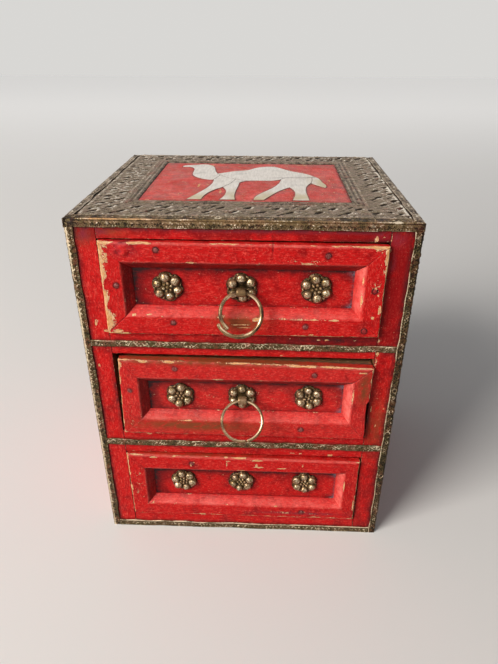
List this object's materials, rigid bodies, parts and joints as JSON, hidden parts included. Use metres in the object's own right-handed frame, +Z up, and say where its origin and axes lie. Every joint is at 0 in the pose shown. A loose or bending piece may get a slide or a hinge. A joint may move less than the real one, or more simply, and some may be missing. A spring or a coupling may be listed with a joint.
{
  "type": "jewellery chest",
  "caption": "Small upright jewellery chest of painted wood with sliding drawers, folded embossed brass edging, an inlaid bone animal on the top and wire ring pulls.",
  "frame": {"origin": "centre of the underside, on the surface that the chest stands on", "axes": "+X to the right seen from the front, +Y to the back, so the drawer fronts face -Y, +Z up"},
  "size_m": [0.1658, 0.163, 0.2007],
  "materials": {
    "red_paint": "worn satin red paint on wood, with ochre ground showing at the edges",
    "bare_wood": "plain sawn wood, unpainted",
    "border_brass": "embossed thin brass sheet, dull and browned",
    "strip_brass": "embossed folded brass strip, browned with bright rubbed ridges",
    "brass_nails": "small round-headed nails, tarnished",
    "rosette_brass": "stamped brass, rubbed bright on the bosses",
    "ring_brass": "drawn brass wire, softly polished by use",
    "iron_brads": "small flat iron brad heads, dark and part painted over",
    "bone": "polished bone, slightly yellowed"
  },
  "bodies": {
    "carcase": {"back_panel": "red_paint", "bottom_board": "red_paint", "camel_inlay": "bone", "corner_strip_back_left": "strip_brass", "corner_strip_back_right": "strip_brass", "corner_strip_front_left": "strip_brass", "corner_strip_front_right": "strip_brass", "foot_strips": "strip_brass", "left_side": "red_paint", "lower_divider": "red_paint", "lower_divider_strip": "strip_brass", "right_side": "red_paint", "strip_nails": "brass_nails", "top_board": "red_paint", "top_border_back": "border_brass", "top_border_front": "border_brass", "top_border_left": "border_brass", "top_border_right": "border_brass", "top_edge_strips": "strip_brass", "upper_divider": "red_paint", "upper_divider_strip": "strip_brass"},
    "bottom_drawer": {"drawer_bottom_back": "bare_wood", "drawer_bottom_brads": "iron_brads", "drawer_bottom_floor": "bare_wood", "drawer_bottom_front": "red_paint", "drawer_bottom_left_wall": "bare_wood", "drawer_bottom_moulding_bottom": "red_paint", "drawer_bottom_moulding_left": "red_paint", "drawer_bottom_moulding_right": "red_paint", "drawer_bottom_moulding_top": "red_paint", "drawer_bottom_right_wall": "bare_wood", "drawer_bottom_rosettes": "rosette_brass"},
    "middle_drawer": {"drawer_middle_back": "bare_wood", "drawer_middle_brads": "iron_brads", "drawer_middle_floor": "bare_wood", "drawer_middle_front": "red_paint", "drawer_middle_left_wall": "bare_wood", "drawer_middle_moulding_bottom": "red_paint", "drawer_middle_moulding_left": "red_paint", "drawer_middle_moulding_right": "red_paint", "drawer_middle_moulding_top": "red_paint", "drawer_middle_right_wall": "bare_wood", "drawer_middle_rosettes": "rosette_brass", "ring_eye_middle": "ring_brass"},
    "top_drawer": {"drawer_top_back": "bare_wood", "drawer_top_brads": "iron_brads", "drawer_top_floor": "bare_wood", "drawer_top_front": "red_paint", "drawer_top_left_wall": "bare_wood", "drawer_top_moulding_bottom": "red_paint", "drawer_top_moulding_left": "red_paint", "drawer_top_moulding_right": "red_paint", "drawer_top_moulding_top": "red_paint", "drawer_top_right_wall": "bare_wood", "drawer_top_rosettes": "rosette_brass", "ring_eye_top": "ring_brass"},
    "middle_ring": {"ring_middle": "ring_brass"},
    "top_ring": {"ring_top": "ring_brass"}
  },
  "joints": [
    {"name": "top_drawer_slide", "type": "slide", "parent": "carcase", "child": "top_drawer", "axis": [0, -1, 0], "range_m": [0, 0.1]},
    {"name": "middle_drawer_slide", "type": "slide", "parent": "carcase", "child": "middle_drawer", "axis": [0, -1, 0], "range_m": [0, 0.1]},
    {"name": "bottom_drawer_slide", "type": "slide", "parent": "carcase", "child": "bottom_drawer", "axis": [0, -1, 0], "range_m": [0, 0.1]},
    {"name": "top_ring_swing", "type": "hinge", "parent": "top_drawer", "child": "top_ring", "pos_m": [-0.0004, -0.0748, 0.1649], "axis": [-1, 0, 0], "range_deg": [0, 124]},
    {"name": "middle_ring_swing", "type": "hinge", "parent": "middle_drawer", "child": "middle_ring", "pos_m": [0, -0.0754, 0.1014], "axis": [-1, 0, 0], "range_deg": [0, 103]}
  ]
}
